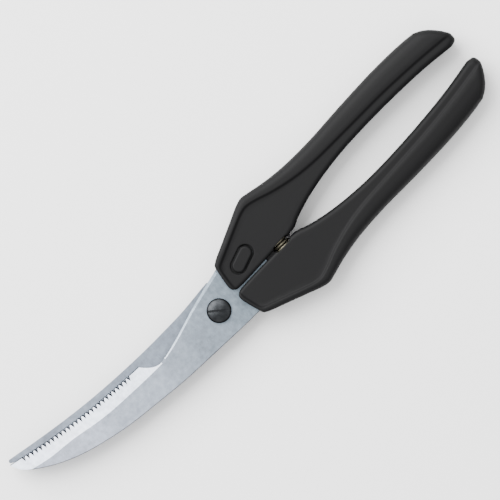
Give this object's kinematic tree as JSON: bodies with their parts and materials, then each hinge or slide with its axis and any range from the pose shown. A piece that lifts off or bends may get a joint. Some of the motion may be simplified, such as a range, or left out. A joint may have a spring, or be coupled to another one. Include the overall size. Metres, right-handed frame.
{
  "type": "poultry shears",
  "caption": "Spring-opened poultry shears with two curved blades, one serrated with a bone notch, crossing at a screw pivot, and two moulded grips with a push lock.",
  "frame": {"origin": "on the pivot axis, at the surface that the closed shears lie on", "axes": "+X along the closed shears to the blade tips, +Z along the pivot axis towards the screw head, -Y towards the front handle"},
  "size_m": [0.2517, 0.05, 0.0142],
  "materials": {
    "blade_steel": "satin ground stainless steel",
    "grip_plastic": "fine textured black nylon",
    "button_plastic": "fine textured black nylon",
    "blackened_steel": "turned and blackened steel",
    "spring_steel": "bright steel",
    "yellow_plated_steel": "yellow passivated spring wire",
    "buffer_rubber": "black rubber"
  },
  "bodies": {
    "front_half": {"front_blade": "blade_steel", "front_handle": "grip_plastic", "pivot_screw": "blackened_steel", "pivot_nut": "blackened_steel", "wave_washer": "spring_steel", "return_spring": "yellow_plated_steel"},
    "rear_half": {"rear_blade": "blade_steel", "rear_handle": "grip_plastic", "closing_buffer": "buffer_rubber"},
    "lock": {"lock_button": "button_plastic", "lock_pin": "spring_steel", "lock_o_ring": "buffer_rubber"}
  },
  "joints": [
    {"name": "blade_pivot", "type": "hinge", "parent": "front_half", "child": "rear_half", "pos_m": [0, 0, 0.007], "axis": [0, 0, -1], "range_deg": [0, 32], "deforming": ["return_spring"]},
    {"name": "lock_slide", "type": "slide", "parent": "front_half", "child": "lock", "axis": [0, 0, -1], "range_m": [0, 0.0021]}
  ]
}
